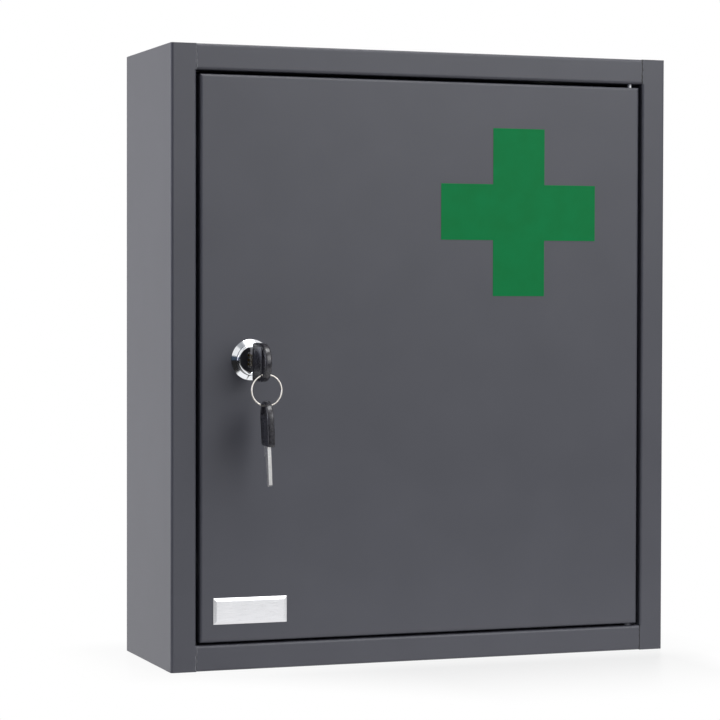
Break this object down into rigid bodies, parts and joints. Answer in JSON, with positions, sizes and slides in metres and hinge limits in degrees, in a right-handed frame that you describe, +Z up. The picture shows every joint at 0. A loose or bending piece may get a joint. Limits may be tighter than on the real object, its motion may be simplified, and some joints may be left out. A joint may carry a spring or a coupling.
{
  "type": "lockable medicine cabinet",
  "caption": "Shallow folded-steel wall cabinet with a right-hung flush door, green cross, cam lock with keys on a ring, and shelves inside.",
  "frame": {"origin": "centre of the cabinet body's underside, half-way between its sides and between its front face and its rear flanges", "axes": "+X to the right of someone facing the door, +Y back towards the wall, +Z up"},
  "size_m": [0.312, 0.1383, 0.36],
  "materials": {
    "grey_powder_coat": "dark grey satin powder coat with a very fine texture",
    "zinc_plate": "bright zinc-plated steel",
    "buffer_rubber": "black rubber",
    "green_film": "satin green adhesive film",
    "bare_aluminium": "satin aluminium plate, bare",
    "lock_chrome": "bright chrome",
    "black_zinc": "black zinc casting",
    "wafer_brass": "plain brass",
    "key_nickel": "nickel-plated steel",
    "key_plastic": "black moulded plastic",
    "ring_steel": "bright nickel-plated spring steel"
  },
  "bodies": {
    "cabinet": {"left_side_panel": "grey_powder_coat", "right_side_panel": "grey_powder_coat", "top_panel": "grey_powder_coat", "bottom_panel": "grey_powder_coat", "back_panel": "grey_powder_coat", "upper_shelf": "grey_powder_coat", "lower_shelf": "grey_powder_coat", "upper_left_bracket": "zinc_plate", "upper_right_bracket": "zinc_plate", "lower_left_bracket": "zinc_plate", "lower_right_bracket": "zinc_plate", "upper_hinge_pin": "zinc_plate", "lower_hinge_pin": "grey_powder_coat", "upper_stop_bracket": "zinc_plate", "lower_stop_bracket": "zinc_plate", "upper_buffer": "buffer_rubber", "lower_buffer": "buffer_rubber"},
    "door": {"door_panel": "grey_powder_coat", "green_cross": "green_film", "name_plate": "bare_aluminium", "lock_housing": "lock_chrome", "lock_nut": "zinc_plate"},
    "lock": {"lock_plug": "black_zinc", "lock_wafers": "wafer_brass", "lock_cam": "zinc_plate", "cam_washer": "zinc_plate", "cam_screw": "zinc_plate"},
    "key": {"key_blade": "key_nickel", "key_head": "key_plastic"},
    "ring": {"key_ring": "ring_steel"},
    "spare_key": {"spare_key_blade": "key_nickel", "spare_key_head": "key_plastic"}
  },
  "joints": [
    {"name": "door_swing", "type": "hinge", "parent": "cabinet", "child": "door", "pos_m": [0.1344, -0.0454, 0.18], "axis": [0, 0, 1], "range_deg": [0, 105]},
    {"name": "lock_turn", "type": "hinge", "parent": "door", "child": "lock", "pos_m": [-0.1085, -0.05, 0.1791], "axis": [0, 1, 0], "range_deg": [0, 90]},
    {"name": "key_slide", "type": "slide", "parent": "lock", "child": "key", "axis": [0, -1, 0], "range_m": [0, 0.03]},
    {"name": "ring_swing", "type": "hinge", "parent": "key", "child": "ring", "pos_m": [-0.1075, -0.07712, 0.17125], "axis": [-1, 0, 0], "range_deg": [-12, 60]},
    {"name": "spare_key_swing", "type": "hinge", "parent": "ring", "child": "spare_key", "pos_m": [-0.1075, -0.07712, 0.15345], "axis": [-1, 0, 0], "range_deg": [-12, 60]}
  ]
}
